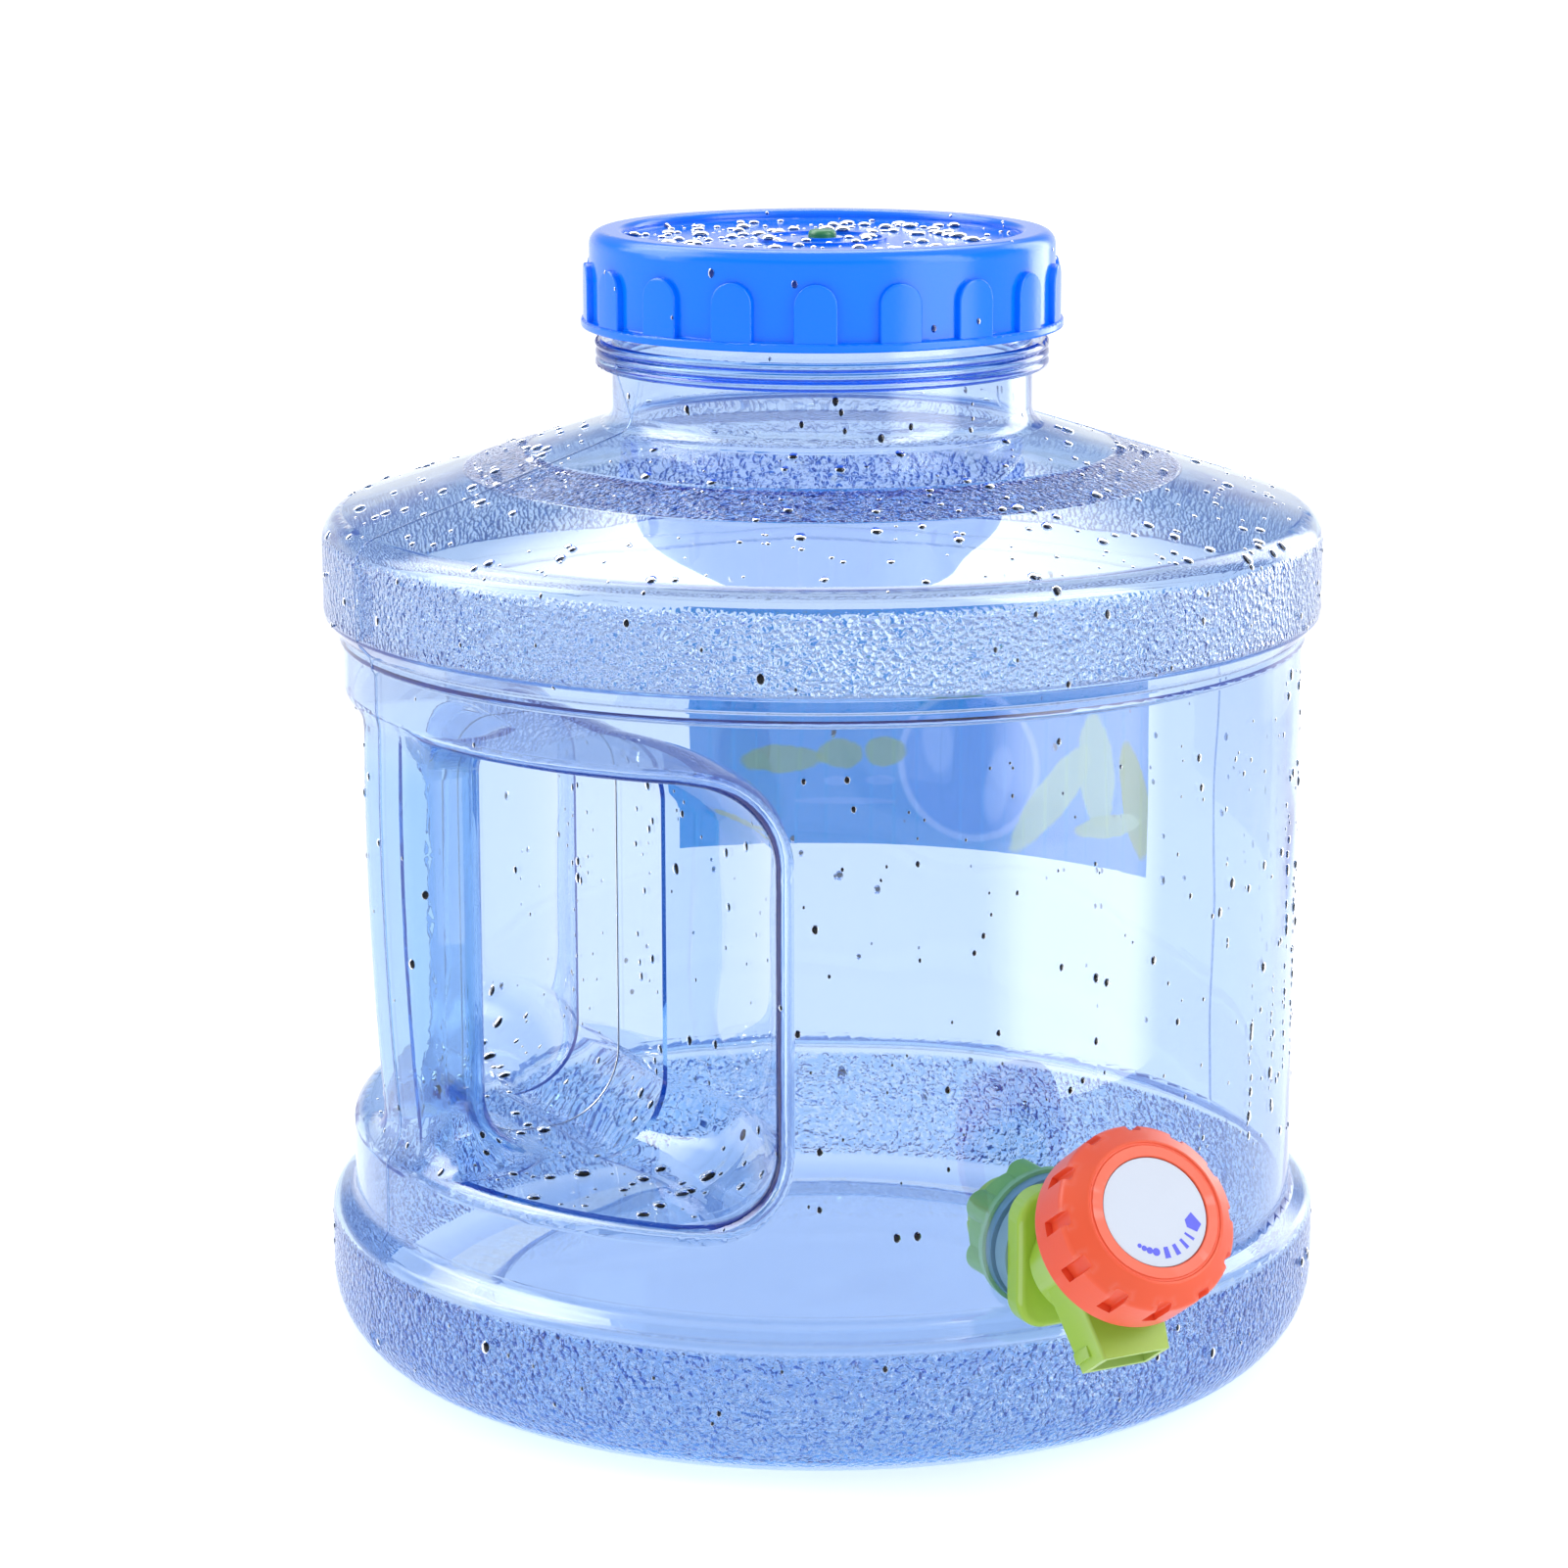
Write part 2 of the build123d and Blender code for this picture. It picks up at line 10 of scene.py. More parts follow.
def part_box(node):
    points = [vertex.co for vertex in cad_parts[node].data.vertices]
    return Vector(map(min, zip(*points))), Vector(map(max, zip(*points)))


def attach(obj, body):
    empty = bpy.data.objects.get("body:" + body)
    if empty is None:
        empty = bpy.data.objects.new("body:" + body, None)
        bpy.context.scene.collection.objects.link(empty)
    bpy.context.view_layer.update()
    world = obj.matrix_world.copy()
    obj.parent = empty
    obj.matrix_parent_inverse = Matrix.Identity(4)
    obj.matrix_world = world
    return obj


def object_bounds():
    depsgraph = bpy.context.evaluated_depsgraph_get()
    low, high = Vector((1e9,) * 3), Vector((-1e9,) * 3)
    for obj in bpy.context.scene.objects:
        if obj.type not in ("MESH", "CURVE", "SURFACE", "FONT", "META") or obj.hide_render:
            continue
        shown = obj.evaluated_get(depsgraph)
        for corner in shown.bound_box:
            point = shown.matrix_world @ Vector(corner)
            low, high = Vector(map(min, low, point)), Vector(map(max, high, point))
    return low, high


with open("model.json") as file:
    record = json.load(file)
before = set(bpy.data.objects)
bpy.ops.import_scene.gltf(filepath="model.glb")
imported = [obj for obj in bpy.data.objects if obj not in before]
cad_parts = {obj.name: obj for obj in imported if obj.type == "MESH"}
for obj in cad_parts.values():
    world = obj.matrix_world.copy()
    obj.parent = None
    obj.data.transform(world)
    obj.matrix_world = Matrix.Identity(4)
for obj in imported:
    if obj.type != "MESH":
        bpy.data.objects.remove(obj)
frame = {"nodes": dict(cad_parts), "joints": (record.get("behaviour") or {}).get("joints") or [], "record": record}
CAD_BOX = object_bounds()
NODES = frame["nodes"]
RECORD = frame["record"]

# ---- places, in metres, in the shared frame ------------------------------------------------------

MM = 0.001
BASE_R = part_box("jug_body")[1].x
LABEL_LOW, LABEL_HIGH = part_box("label_film")
CAP_PANEL_R = 0.051
CAP_RIM_R = 0.059
WALL_R = 0.1278
TAP_CENTRE = Vector((0, -WALL_R, 0.0587))
TAP_CLEAR_R = 0.024  # no drops nearer than this to the tap's centre
KNOB_JOINT = next(joint for joint in frame["joints"] if joint["name"] == "knob_turn")
VALVE_POINT = Vector(KNOB_JOINT["pos_m"])
VALVE_AXIS = Vector(KNOB_JOINT["axis"]).normalized()
DIAL_FACE = 39.4 * MM

# Where rays that look for a surface start: outside the walls, above the shoulder, above the cap
OUTSIDE_R = 0.3
ABOVE_SHOULDER_Z = 0.262
ABOVE_CAP_Z = 0.32
ALL_ROUND = (0, 360)

# Pebbled bands of the body: the base ring, the belt and a ring on the shoulder
BASE_BAND = (0.0006, 0.0355)
BELT_BAND = (0.2015, 0.2212)
BELT_R = 0.1315
SHOULDER_BAND_R = (0.0786, 0.0948)
SHOULDER_Z = 0.236
BASE_BAND_DEPTH = 0.0075

# The clear plastic: its colours, how it takes up light, and the depth of its texture
BODY_TINT = (0.81, 0.85, 0.94)
# Painted shade: a deeper blue for the grip
GRIP_PAINTED_SHADE = (0.62, 0.76, 0.90)
# Painted shade for the creases between pebbles
PEBBLE_CREASE_SHADE = (0.40, 0.58, 0.84)
# Painted light: the glow that a ray still trapped in the wall ends in
CAUGHT_RAY_GLOW = (0.34, 0.50, 0.74)
POLYCARBONATE = {
    "ior": 1.58,
    "absorbed": (0.10, 0.54, 0.88),
    "density": 90.0,
    "tint": (0.97, 0.98, 1.0),
}
PEBBLE_SCALE = 760
PEBBLE_BEND = 0.0022
BASE_PEBBLE, BELT_PEBBLE, RING_PEBBLE = 0.0008, 0.0012, 0.0011
RIPPLE_DEPTH = 0.0011

# Light turns many times inside the thick clear wall, and goes black if it is cut off too soon
BOUNCES = 20
# Ray depth after which a ray still in the wall ends in the painted glow
CAUGHT_AFTER = 14.5

# The mould's seam: the arcs that it runs over, in degrees about its middle, and its rib
SEAM_MIDDLE = Vector((0, 0, 0.13))
SEAM_ARCS = ((113.2, 223), (-43, 66.8))
SEAM_STEP = 0.5
SEAM_START = 0.4
GRIP_HOLE = Vector((-0.087, 0, 0.121))
HOLE_STEP = 1.5
RIB_HALF, RIB_RISE, RIB_LIFT = 0.4 * MM, 0.3 * MM, 0.02 * MM

# The dial's print: angles in degrees, radii and widths in millimetres
MARK_INNER, MARK_OUTER = 8.8, 11.6
MARK_THICKNESS = 0.06 * MM
DIAL_BARS = ((315, 3.6), (301, 5.0), (285.5, 6.4), (270, 7.6))
DIAL_DOTS = ((254, 1.0), (244, 0.85), (235.5, 0.7), (228, 0.55))
DOT_RING_R = 10.0
DOT_SIDES = 16

LAMPS = (
    # name, azimuth, distance, height, size, power, height aimed at, seen in reflections alone
    ("key_right", 35, 1.0, 0.8, (0.5, 0.8), 3.2, 0.15, False),
    ("fill_left", -110, 1.1, 0.7, (0.6, 1.0), 3.5, 0.15, False),
    ("strip_right", 27, 0.42, 0.3, (0.36, 1.7), 8.5, 0.3, True),
    ("panel_left", -125, 0.9, 0.9, (1.1, 1.1), 18, 0.2, True),
    ("panel_right", 105, 0.8, 0.45, (0.5, 1.0), 7, 0.3, True),
    ("overhead", 175, 0.7, 1.2, (2.2, 1.0), 28, 0.2, True),
)


# ---- camera, light and floor ---------------------------------------------------------------------


def make_camera():
    """A long lens to the front left of the jug, higher than its cap and pitched down."""
    distance, height, pitch = 1.1304, 0.4087, math.radians(12.84)
    turn = math.radians(-27.0)
    data = bpy.data.cameras.new("camera")
    data.lens = 98.49
    data.sensor_width = 36
    data.shift_x = -0.0244
    data.shift_y = -0.0022
    data.clip_end = 60
    camera = bpy.data.objects.new("camera", data)
    bpy.context.scene.collection.objects.link(camera)
    camera.location = (math.sin(turn) * distance, -math.cos(turn) * distance, height)
    camera.rotation_euler = (math.pi / 2 - pitch, 0, turn)
    bpy.context.scene.camera = camera


def lamp(name, azimuth, distance, height, size, power, target_height, gloss_only):
    """A rectangular lamp at an azimuth from the front, aimed at a height on the jug's axis."""
    data = bpy.data.lights.new(name, "AREA")
    data.shape = "RECTANGLE"
    data.size, data.size_y = size
    data.energy = power
    light = bpy.data.objects.new(name, data)
    bpy.context.scene.collection.objects.link(light)
    turn = math.radians(azimuth)
    place = Vector((math.sin(turn) * distance, -math.cos(turn) * distance, height))
    light.location = place
    aim = Vector((0, 0, target_height)) - place
    light.rotation_euler = aim.to_track_quat("-Z", "Y").to_euler()
    light.visible_camera = False
    if gloss_only:
        light.visible_diffuse = False
        light.visible_transmission = False
        fade_edges(data)


def fade_edges(data):
    """Make a lamp fade from its middle towards its edges, like a diffused softbox."""
    data.use_nodes = True
    nodes, links = data.node_tree.nodes, data.node_tree.links
    place = nodes.new("ShaderNodeNewGeometry").outputs["Parametric"]
    split = nodes.new("ShaderNodeSeparateXYZ")
    links.new(place, split.inputs[0])
    share = None
    for axis in ("X", "Y"):
        middle = nodes.new("ShaderNodeMath")
        middle.operation = "SUBTRACT"
        links.new(split.outputs[axis], middle.inputs[0])
        middle.inputs[1].default_value = 0.5
        away = nodes.new("ShaderNodeMath")
        away.operation = "ABSOLUTE"
        links.new(middle.outputs[0], away.inputs[0])
        fade = nodes.new("ShaderNodeMapRange")
        fade.interpolation_type = "SMOOTHSTEP"
        fade.inputs["From Min"].default_value = 0.5
        fade.inputs["From Max"].default_value = 0.22
        links.new(away.outputs[0], fade.inputs["Value"])
        if share is None:
            share = fade.outputs["Result"]
            continue
        both = nodes.new("ShaderNodeMath")
        both.operation = "MULTIPLY"
        links.new(share, both.inputs[0])
        links.new(fade.outputs["Result"], both.inputs[1])
        share = both.outputs[0]
    links.new(share, nodes["Emission"].inputs["Strength"])


def make_world():
    """A white studio, with a blue stretch between low and high that darkens the jug's edges."""
    world = bpy.data.worlds.new("studio")
    bpy.context.scene.world = world
    world.use_nodes = True
    nodes, links = world.node_tree.nodes, world.node_tree.links
    nodes.clear()
    coord = nodes.new("ShaderNodeTexCoord")
    split = nodes.new("ShaderNodeSeparateXYZ")
    links.new(coord.outputs["Generated"], split.inputs[0])
    ramp = nodes.new("ShaderNodeValToRGB")
    links.new(split.outputs["Z"], ramp.inputs["Fac"])
    stops = (
        (0.0, (1.0, 1.0, 1.0)),
        (0.10, (1.0, 1.0, 1.0)),
        (0.26, (0.38, 0.50, 0.72)),
        (0.52, (0.34, 0.47, 0.70)),
        (0.70, (1.0, 1.0, 1.0)),
    )
    elements = ramp.color_ramp.elements
    elements[0].color = (*stops[0][1], 1)
    elements[1].position = stops[-1][0]
    elements[1].color = (*stops[-1][1], 1)
    for position, colour in stops[1:-1]:
        elements.new(position).color = (*colour, 1)
    seen = nodes.new("ShaderNodeBackground")
    seen.inputs["Color"].default_value = (1, 1, 1, 1)
    studio = nodes.new("ShaderNodeBackground")
    studio.inputs["Strength"].default_value = 1.0
    links.new(ramp.outputs["Color"], studio.inputs["Color"])
    path = nodes.new("ShaderNodeLightPath")
    mix = nodes.new("ShaderNodeMixShader")
    links.new(path.outputs["Is Camera Ray"], mix.inputs["Fac"])
    links.new(studio.outputs[0], mix.inputs[1])
    links.new(seen.outputs[0], mix.inputs[2])
    output = nodes.new("ShaderNodeOutputWorld")
    links.new(mix.outputs[0], output.inputs["Surface"])


def make_stage():
    make_world()
    bpy.ops.mesh.primitive_plane_add(size=80, location=(0, 0, 0))
    floor = bpy.context.object
    floor.name = "floor"
    floor.data.materials.append(plain_floor())
    for settings in LAMPS:
        lamp(*settings)
    scene = bpy.context.scene
    scene.view_settings.view_transform = "Standard"
    scene.cycles.max_bounces = BOUNCES
    scene.cycles.transmission_bounces = BOUNCES
    scene.cycles.transparent_max_bounces = BOUNCES
    scene.cycles.glossy_bounces = BOUNCES
    scene.cycles.caustics_reflective = False
    scene.cycles.caustics_refractive = False


# ---- materials -----------------------------------------------------------------------------------


class Graph:
    """Short calls for building a material's nodes."""

    def __init__(self, name):
        self.material = bpy.data.materials.new(name)
        self.material.use_nodes = True
        self.tree = self.material.node_tree
        self.shader = self.tree.nodes["Principled BSDF"]
        self.output = self.tree.nodes["Material Output"]
        self.point = self.add("ShaderNodeTexCoord").outputs["Object"]

    def add(self, kind, **settings):
        node = self.tree.nodes.new(kind)
        for key, value in settings.items():
            setattr(node, key, value)
        return node

    def join(self, source, socket):
        self.tree.links.new(source, socket)

    def math(self, operation, first, second=0.0):
        node = self.add("ShaderNodeMath", operation=operation)
        for socket, value in zip(node.inputs, (first, second)):
            if isinstance(value, (int, float)):
                socket.default_value = value
            else:
                self.join(value, socket)
        return node.outputs[0]

    def times(self, first, *others):
        for other in others:
            first = self.math("MULTIPLY", first, other)
        return first

    def most(self, first, *others):
        for other in others:
            first = self.math("MAXIMUM", first, other)
        return first

    def step(self, source, edge, soft, rising=True):
        """0 to 1, or 1 to 0, as the source passes an edge."""
        node = self.add("ShaderNodeMapRange", interpolation_type="SMOOTHSTEP")
        node.inputs["From Min"].default_value = edge - soft
        node.inputs["From Max"].default_value = edge + soft
        node.inputs["To Min"].default_value = 0 if rising else 1
        node.inputs["To Max"].default_value = 1 if rising else 0
        self.join(source, node.inputs["Value"])
        return node.outputs["Result"]

    def noise(self, scale, detail=2.0, point=None):
        node = self.add("ShaderNodeTexNoise")
        node.inputs["Scale"].default_value = scale
        node.inputs["Detail"].default_value = detail
        self.join(point or self.point, node.inputs["Vector"])
        return node

    def blend(self, factor, first, second):
        """A colour between two colours or sockets."""
        node = self.add("ShaderNodeMix", data_type="RGBA")
        self.join(factor, node.inputs["Factor"])
        for name, value in (("A", first), ("B", second)):
            if isinstance(value, tuple):
                node.inputs[name].default_value = (*value, 1)
            else:
                self.join(value, node.inputs[name])
        return node.outputs["Result"]

    def bump(self, height, distance, strength=1.0):
        node = self.add("ShaderNodeBump")
        node.inputs["Distance"].default_value = distance
        if isinstance(strength, float):
            node.inputs["Strength"].default_value = strength
        else:
            self.join(strength, node.inputs["Strength"])
        self.join(height, node.inputs["Height"])
        self.join(node.outputs[0], self.shader.inputs["Normal"])

    def cylinder(self):
        """Height, radius from the jug's axis and azimuth of the shaded point."""
        split = self.add("ShaderNodeSeparateXYZ")
        self.join(self.point, split.inputs[0])
        flat = self.add("ShaderNodeCombineXYZ")
        self.join(split.outputs["X"], flat.inputs["X"])
        self.join(split.outputs["Y"], flat.inputs["Y"])
        radius = self.add("ShaderNodeVectorMath", operation="LENGTH")
        self.join(flat.outputs[0], radius.inputs[0])
        turn = self.math("ARCTAN2", split.outputs["Y"], split.outputs["X"])
        return split.outputs["Z"], radius.outputs["Value"], turn


def plain_floor():
    graph = Graph("pale_floor")
    graph.shader.inputs["Base Color"].default_value = (0.8, 0.8, 0.81, 1)
    graph.shader.inputs["Roughness"].default_value = 0.8
    graph.shader.inputs["Specular IOR Level"].default_value = 0.1
    graph.shader.inputs["Emission Color"].default_value = (1, 1, 1, 1)
    graph.shader.inputs["Emission Strength"].default_value = 0.5
    return graph.material


def let_light_through(graph, tint):
    """Lamp light and bounced light pass straight through, so that what is inside is lit."""
    path = graph.add("ShaderNodeLightPath")
    either = graph.math("MAXIMUM", path.outputs["Is Shadow Ray"], path.outputs["Is Diffuse Ray"])
    window = graph.add("ShaderNodeBsdfTransparent")
    window.inputs["Color"].default_value = (*tint, 1)
    mix = graph.add("ShaderNodeMixShader")
    graph.join(either, mix.inputs["Fac"])
    graph.join(graph.shader.outputs[0], mix.inputs[1])
    graph.join(window.outputs[0], mix.inputs[2])
    # Painted light: a ray still trapped inside the wall after many turns ends in a glow of the wall's own pale
    # tone instead of black
    painted_glow = graph.add("ShaderNodeEmission")
    painted_glow.inputs["Color"].default_value = (*CAUGHT_RAY_GLOW, 1)
    last = graph.add("ShaderNodeMixShader")
    graph.join(graph.step(path.outputs["Ray Depth"], CAUGHT_AFTER, 0.4), last.inputs["Fac"])
    graph.join(mix.outputs[0], last.inputs[1])
    graph.join(painted_glow.outputs[0], last.inputs[2])
    graph.join(last.outputs[0], graph.output.inputs["Surface"])


def clear_material(name, colour, roughness, ior, absorbed, density, tint):
    """A clear material whose tint deepens along the light's way through it."""
    graph = Graph(name)
    shader = graph.shader
    shader.inputs["Base Color"].default_value = (*colour, 1)
    shader.inputs["Roughness"].default_value = roughness
    shader.inputs["IOR"].default_value = ior
    shader.inputs["Transmission Weight"].default_value = 1.0
    absorption = graph.add("ShaderNodeVolumeAbsorption")
    absorption.inputs["Color"].default_value = (*absorbed, 1)
    absorption.inputs["Density"].default_value = density
    graph.join(absorption.outputs[0], graph.output.inputs["Volume"])
    let_light_through(graph, tint)
    return graph


def clear_plastic():
    """Blue-tinted polycarbonate, pebbled on the bands and very slightly rippled elsewhere."""
    graph = clear_material("clear_blue_polycarbonate", BODY_TINT, 0.012, **POLYCARBONATE)
    z, radius, turn = graph.cylinder()

    # Painted shade: the grip, on the -X side, is painted a deeper blue, where it looks darker through its extra
    # walls
    side = graph.math("SUBTRACT", math.pi, graph.math("ABSOLUTE", turn))
    grip = graph.times(
        graph.step(side, 0.33, 0.04, False),
        graph.step(radius, 0.101, 0.004),
        graph.step(z, 0.069, 0.012),
        graph.step(z, 0.172, 0.012, False),
    )
    tint = graph.blend(grip, BODY_TINT, GRIP_PAINTED_SHADE)

    # 1 inside each pebbled band, 0 outside it
    base = graph.times(
        graph.step(z, BASE_BAND[1], 0.0008, False),
        graph.step(z, BASE_BAND[0], 0.0004),
        graph.step(radius, BASE_R - BASE_BAND_DEPTH, 0.0004),
    )
    belt = graph.times(
        graph.step(z, BELT_BAND[0], 0.0004),
        graph.step(z, BELT_BAND[1], 0.0015, False),
        graph.step(radius, BELT_R, 0.0003),
    )
    ring = graph.times(
        graph.step(radius, SHOULDER_BAND_R[0], 0.0006),
        graph.step(radius, SHOULDER_BAND_R[1], 0.0006, False),
        graph.step(z, SHOULDER_Z, 0.0003),
    )
    # Where the pebbles' creases get painted shade: fully on the base ring and shoulder ring, faintly on the belt
    tinted = graph.most(base, graph.times(belt, 0.3), ring)
    bands = graph.most(
        graph.times(base, BASE_PEBBLE),
        graph.times(belt, BELT_PEBBLE),
        graph.times(ring, RING_PEBBLE),
    )

    # Uneven cells: a Voronoi pattern whose points noise pushes about
    bent = graph.add("ShaderNodeVectorMath", operation="MULTIPLY_ADD")
    graph.join(graph.noise(260, 1.0).outputs["Color"], bent.inputs[0])
    bent.inputs[1].default_value = (PEBBLE_BEND, PEBBLE_BEND, PEBBLE_BEND)
    graph.join(graph.point, bent.inputs[2])
    cells = graph.add("ShaderNodeTexVoronoi", feature="SMOOTH_F1")
    cells.inputs["Scale"].default_value = PEBBLE_SCALE
    cells.inputs["Smoothness"].default_value = 0.45
    graph.join(bent.outputs[0], cells.inputs["Vector"])
    # Painted shade: the creases between the Voronoi cells are painted a deeper blue
    crease_shade = graph.times(graph.step(cells.outputs["Distance"], 0.44, 0.13), tinted)
    graph.join(graph.blend(crease_shade, tint, PEBBLE_CREASE_SHADE), graph.shader.inputs["Base Color"])
    pebbles = graph.times(cells.outputs["Distance"], bands)
    ripple = graph.times(graph.noise(16, 1.0).outputs["Fac"], RIPPLE_DEPTH)
    graph.bump(graph.math("ADD", pebbles, ripple), 1.0)
    return graph.material


def water():
    graph = clear_material(
        "water_drops",
        (0.28, 0.44, 0.76),
        0.0,
        ior=1.33,
        absorbed=(0.02, 0.2, 0.72),
        density=500.0,
        tint=(0.9, 0.95, 1.0),
    )
    graph.shader.inputs["Specular IOR Level"].default_value = 0.2
    graph.bump(graph.noise(400).outputs["Fac"], 0.00005, 0.3)
    return graph.material


def seam_plastic():
    """The body's plastic where the mould's halves meet, thicker and so darker."""
    graph = clear_material("seam_plastic", (0.42, 0.55, 0.80), 0.1, **POLYCARBONATE)
    graph.bump(graph.noise(600).outputs["Fac"], 0.0001, 0.4)
    return graph.material


def moulded_plastic(name, colour, roughness=0.3, subsurface=0.0, edge_highlight=0.0, specular=0.5):
    """Moulded plastic with a slight uneven sheen, a fine skin and paler convex edges, a painted highlight."""
    graph = Graph(name)
    shader = graph.shader
    cloud = graph.noise(40, 4.0).outputs["Fac"]
    dark = tuple(c * 0.93 for c in colour)
    light = tuple(min(1, c * 1.06) for c in colour)
    tone = graph.blend(cloud, dark, light)
    # Painted highlight: convex edges are painted paler, as if they caught the light
    if edge_highlight:
        edge = graph.add("ShaderNodeNewGeometry").outputs["Pointiness"]
        pale = tuple(c + (1 - c) * edge_highlight for c in colour)
        tone = graph.blend(graph.step(edge, 0.56, 0.05), tone, pale)
    graph.join(tone, shader.inputs["Base Color"])
    rough = graph.add("ShaderNodeMapRange")
    rough.inputs["To Min"].default_value = roughness * 0.85
    rough.inputs["To Max"].default_value = roughness * 1.2
    graph.join(cloud, rough.inputs["Value"])
    graph.join(rough.outputs["Result"], shader.inputs["Roughness"])
    shader.inputs["Specular IOR Level"].default_value = specular
    graph.bump(graph.noise(900).outputs["Fac"], 0.00006, 0.4)
    if subsurface:
        shader.inputs["Subsurface Weight"].default_value = subsurface
        shader.inputs["Subsurface Radius"].default_value = (0.004, 0.004, 0.002)
    return graph.material


def label_print():
    """A generic print: broad brush strokes, an outlined disc and soft rules on a blue ground, with two painted
    highlights in the disc.
    """
    graph = Graph("label_print")
    z, _, turn = graph.cylinder()
    low, high = LABEL_LOW.z, LABEL_HIGH.z
    start, width = math.radians(14.4), math.radians(66.8)
    up = graph.times(graph.math("SUBTRACT", z, low), 1 / (high - low))
    along = graph.times(graph.math("SUBTRACT", turn, start), 1 / width)
    cloud = graph.noise(170, 3.0).outputs["Fac"]
    ragged = graph.times(graph.math("SUBTRACT", cloud, 0.5), 0.7)

    def disc(centre, size, angle=0.0, rough=0.0):
        """Square of the distance from a tilted ellipse's centre, 1 on its rim."""
        x = graph.times(graph.math("SUBTRACT", along, centre[0]), 1.62)
        y = graph.math("SUBTRACT", up, centre[1])
        cos, sin = math.cos(math.radians(angle)), math.sin(math.radians(angle))
        across = graph.math(
            "ADD", graph.times(x, cos / size[0]), graph.times(y, sin / size[0])
        )
        rise = graph.math(
            "SUBTRACT", graph.times(y, cos / size[1]), graph.times(x, sin / size[1])
        )
        square = graph.math("ADD", graph.times(across, across), graph.times(rise, rise))
        return graph.math("ADD", square, graph.times(ragged, rough))

    def paint(tone, colour, mask, share):
        return graph.blend(graph.times(mask, share), tone, colour)

    ground = graph.blend(graph.step(up, 0.3, 0.3), (0.0, 0.50, 0.76), (0.0, 0.44, 0.71))
    tone = graph.blend(graph.noise(25, 2.0).outputs["Fac"], ground, (0.08, 0.50, 0.80))
    rim = disc((0.42, 0.34), (0.24, 0.30))
    outline = graph.times(graph.step(rim, 0.88, 0.06), graph.step(rim, 1.06, 0.06, False))
    tone = paint(tone, (0.12, 0.48, 0.84), graph.step(rim, 1.0, 0.1, False), 0.7)
    tone = paint(tone, (0.75, 0.85, 0.95), outline, 0.75)
    painted_glint, yellow, olive = (0.62, 0.78, 0.95), (0.85, 0.9, 0.42), (0.5, 0.58, 0.1)
    patches = (
        # colour, centre, half sizes, angle, raggedness, softness of the edge, share of the colour
        # The first two patches are painted highlights: pale streaks of glinting light, not print
        (painted_glint, (0.36, 0.27), (0.045, 0.15), 8, 0.0, 0.5, 0.75),
        (painted_glint, (0.49, 0.42), (0.05, 0.12), -4, 0.0, 0.5, 0.6),
        (yellow, (0.235, 0.25), (0.27, 0.062), 122, 1.0, 0.15, 0.9),
        (yellow, (0.135, 0.38), (0.22, 0.068), 87, 1.0, 0.15, 0.9),
        ((0.5, 0.55, 0.07), (0.035, 0.29), (0.22, 0.06), 80, 1.0, 0.15, 0.9),
        ((0.75, 0.8, 0.3), (0.10, 0.17), (0.14, 0.042), 160, 1.0, 0.15, 0.9),
        (olive, (0.60, 0.37), (0.07, 0.06), 0, 1.4, 0.25, 0.75),
        (olive, (0.69, 0.36), (0.07, 0.06), 0, 1.4, 0.25, 0.75),
        (olive, (0.81, 0.34), (0.13, 0.055), 0, 1.4, 0.25, 0.75),
        ((0.45, 0.68, 0.9), (0.61, 0.255), (0.05, 0.02), 0, 0.8, 0.4, 0.5),
        ((0.45, 0.68, 0.9), (0.70, 0.25), (0.04, 0.02), 0, 0.8, 0.4, 0.5),
        ((0.45, 0.68, 0.9), (0.68, 0.17), (0.16, 0.014), 0, 0.8, 0.4, 0.5),
    )
    for colour, centre, size, angle, rough, soft, share in patches:
        inside = graph.step(disc(centre, size, angle, rough), 1.0, soft, False)
        tone = paint(tone, colour, inside, share)
    graph.join(tone, graph.shader.inputs["Base Color"])
    graph.shader.inputs["Roughness"].default_value = 0.4
    graph.shader.inputs["Specular IOR Level"].default_value = 0.25
    graph.bump(graph.noise(700).outputs["Fac"], 0.00002, 0.3)
    return graph.material


def brushed_steel():
    graph = Graph("stainless_steel")
    graph.shader.inputs["Metallic"].default_value = 1.0
    graph.shader.inputs["Roughness"].default_value = 0.3
    tone = graph.blend(graph.noise(300, 4.0).outputs["Fac"], (0.5, 0.5, 0.52), (0.68, 0.68, 0.7))
    graph.join(tone, graph.shader.inputs["Base Color"])
    graph.bump(graph.noise(1500, 3.0).outputs["Fac"], 0.00002, 0.4)
    return graph.material


FINISHES = {
    "clear_body": clear_plastic,
    "label": label_print,
    "cap": lambda: moulded_plastic(
        "blue_cap_plastic", (0.0, 0.2, 0.93), 0.16, edge_highlight=0.05, specular=0.3
    ),
    "white_rubber": lambda: moulded_plastic("white_silicone", (0.8, 0.83, 0.85), 0.5),
    "vent": lambda: moulded_plastic("green_silicone", (0.02, 0.22, 0.06), 0.35),
    "tap": lambda: moulded_plastic(
        "lime_plastic", (0.36, 0.55, 0.05), 0.35, subsurface=0.15, edge_highlight=0.1, specular=0.35
    ),
    "tap_rubber": lambda: moulded_plastic("grey_rubber", (0.2, 0.34, 0.4), 0.6),
    "nut": lambda: moulded_plastic("green_plastic", (0.2, 0.46, 0.09), 0.35, edge_highlight=0.15),
    "knob": lambda: moulded_plastic(
        "orange_plastic", (0.84, 0.1, 0.035), 0.33, subsurface=0.1, edge_highlight=0.08, specular=0.3
    ),
    "dial": lambda: moulded_plastic("white_dial", (0.56, 0.6, 0.67), 0.3, specular=0.3),
    "valve": lambda: moulded_plastic("white_acetal", (0.85, 0.85, 0.8), 0.4),
    "screw": brushed_steel,
}


